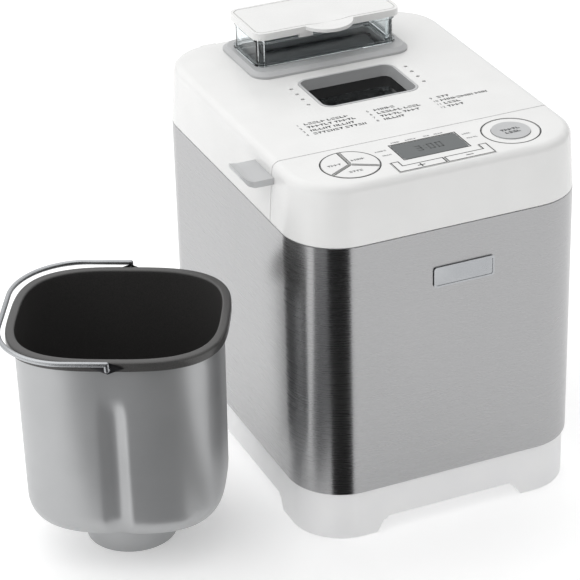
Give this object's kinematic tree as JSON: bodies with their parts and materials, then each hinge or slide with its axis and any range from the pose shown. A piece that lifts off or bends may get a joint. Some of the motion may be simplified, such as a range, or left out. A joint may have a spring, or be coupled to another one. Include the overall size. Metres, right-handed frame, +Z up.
{
  "type": "bread machine",
  "caption": "Bread machine with steel-wrapped body, hinged lid with window and clear fruit-and-nut dispenser, top controls, and its lift-out bread pan standing beside it.",
  "frame": {"origin": "on the floor under the middle of the machine and pan together", "axes": "+X to the machine's right seen from the front, +Y towards its back, +Z up"},
  "size_m": [0.4516, 0.3151, 0.3405],
  "materials": {
    "white_abs": "white moulded ABS",
    "base_abs": "white moulded base plastic",
    "grey_abs": "light grey moulded plastic",
    "dark_plastic": "dark heat-resistant plastic",
    "brushed_stainless": "horizontally brushed stainless sheet",
    "plate_steel": "zinc-plated steel",
    "cast_alloy": "die-cast aluminium",
    "bead_aluminium": "bead-blasted aluminium",
    "nonstick": "dark non-stick coating on aluminium",
    "brass": "sintered bronze bush",
    "rubber": "black rubber",
    "silicone": "red silicone seal",
    "clear_san": "clear moulded plastic",
    "window_glass": "dark tempered glass",
    "lcd": "grey display window",
    "circuit": "green glass-fibre board",
    "film": "cream capacitor case",
    "ceramic": "white alumina",
    "heater": "oxidised heater sheath",
    "pulley_nylon": "natural nylon"
  },
  "bodies": {
    "machine": {"base_tray": "base_abs", "foot_pad_1": "rubber", "foot_pad_2": "rubber", "foot_pad_3": "rubber", "foot_pad_4": "rubber", "steel_wrap": "brushed_stainless", "rear_grille": "base_abs", "cord_gland": "rubber", "nameplate": "plate_steel", "top_frame": "base_abs", "hinge_pin_left": "plate_steel", "hinge_pin_right": "plate_steel", "control_housing": "white_abs", "display_lens": "lcd", "lcd_module": "grey_abs", "control_board": "circuit", "start_ring": "white_abs", "power_board": "circuit", "capacitor": "film", "baking_chamber": "plate_steel", "heat_shield": "plate_steel", "pan_socket": "cast_alloy", "heating_element": "heater", "element_bushes": "ceramic", "temperature_sensor": "plate_steel", "bearing_housing": "cast_alloy", "drive_bush": "brass", "motor_bracket": "plate_steel", "motor_body": "plate_steel", "drive_belt": "rubber"},
    "menu_key": {"menu_button": "white_abs"},
    "colour_key": {"colour_button": "white_abs"},
    "size_key": {"size_button": "white_abs"},
    "start_key": {"start_button": "grey_abs"},
    "minus_key": {"minus_button": "white_abs"},
    "plus_key": {"plus_button": "white_abs"},
    "drive": {"drive_shaft": "plate_steel", "drive_coupler": "cast_alloy", "large_pulley": "pulley_nylon"},
    "rotor": {"motor_shaft": "plate_steel", "motor_pulley": "pulley_nylon"},
    "lid": {"lid_cover": "white_abs", "lid_liner": "plate_steel", "lid_gasket": "silicone", "window_bezel": "grey_abs", "window_glass": "window_glass", "inner_glass": "window_glass", "lid_tab": "grey_abs", "dispenser_frame": "grey_abs", "dispenser_box": "clear_san"},
    "flap": {"dispenser_flap": "dark_plastic"},
    "dispenser_cover": {"dispenser_lid": "white_abs"},
    "pan": {"pan_body": "bead_aluminium", "pan_rim": "nonstick", "pan_skirt": "bead_aluminium", "pan_bush": "brass"},
    "bail": {"pan_handle": "plate_steel"},
    "pan_drive": {"pan_shaft": "plate_steel", "wing_coupling": "cast_alloy"},
    "paddle": {"kneading_paddle": "nonstick"}
  },
  "joints": [
    {"name": "menu_press", "type": "slide", "parent": "machine", "child": "menu_key", "axis": [0, 0, -1], "range_m": [0, 0.001], "stiffness_N_per_m": 300, "springref_m": -0.001},
    {"name": "colour_press", "type": "slide", "parent": "machine", "child": "colour_key", "axis": [0, 0, -1], "range_m": [0, 0.001], "stiffness_N_per_m": 300, "springref_m": -0.001},
    {"name": "size_press", "type": "slide", "parent": "machine", "child": "size_key", "axis": [0, 0, -1], "range_m": [0, 0.001], "stiffness_N_per_m": 300, "springref_m": -0.001},
    {"name": "start_press", "type": "slide", "parent": "machine", "child": "start_key", "axis": [0, 0, -1], "range_m": [0, 0.001], "stiffness_N_per_m": 300, "springref_m": -0.001},
    {"name": "minus_press", "type": "slide", "parent": "machine", "child": "minus_key", "axis": [0, 0, -1], "range_m": [0, 0.001], "stiffness_N_per_m": 300, "springref_m": -0.001},
    {"name": "plus_press", "type": "slide", "parent": "machine", "child": "plus_key", "axis": [0, 0, -1], "range_m": [0, 0.001], "stiffness_N_per_m": 300, "springref_m": -0.001},
    {"name": "lid_hinge", "type": "hinge", "parent": "machine", "child": "lid", "pos_m": [0.1058, 0.1422, 0.266], "axis": [-1, 0, 0], "range_deg": [0, 78]},
    {"name": "flap_hinge", "type": "hinge", "parent": "lid", "child": "flap", "pos_m": [0.1058, 0.1137, 0.3], "axis": [1, 0, 0], "range_deg": [0, 75], "stiffness_Nm_per_rad": 0.02, "springref_deg": -34.38},
    {"name": "dispenser_lid_hinge", "type": "hinge", "parent": "lid", "child": "dispenser_cover", "pos_m": [0.1058, 0.1247, 0.335], "axis": [-1, 0, 0], "range_deg": [0, 100]},
    {"name": "drive_spin", "type": "hinge", "parent": "machine", "child": "drive", "pos_m": [0.1058, 0.0257, 0.05], "axis": [0, 0, 1], "continuous": true},
    {"name": "motor_spin", "type": "hinge", "parent": "machine", "child": "rotor", "pos_m": [0.0608, -0.1123, 0.05], "axis": [0, 0, 1], "continuous": true},
    {"name": "pan_lift", "type": "slide", "parent": "machine", "child": "pan", "axis": [0, 0, 1], "range_m": [0, 0.09]},
    {"name": "handle_swing", "type": "hinge", "parent": "pan", "child": "bail", "pos_m": [-0.1282, -0.0608, 0.189], "axis": [0.454, 0.891, 0], "range_deg": [0, 180]},
    {"name": "paddle_spin", "type": "hinge", "parent": "pan", "child": "pan_drive", "pos_m": [-0.1282, -0.0608, 0.02], "axis": [0, 0, 1], "continuous": true},
    {"name": "paddle_lift", "type": "slide", "parent": "pan_drive", "child": "paddle", "axis": [0, 0, 1], "range_m": [0, 0.12]}
  ],
  "couplings": [
    {"joint": "motor_spin", "follows": "drive_spin", "ratio": 4.0909}
  ]
}
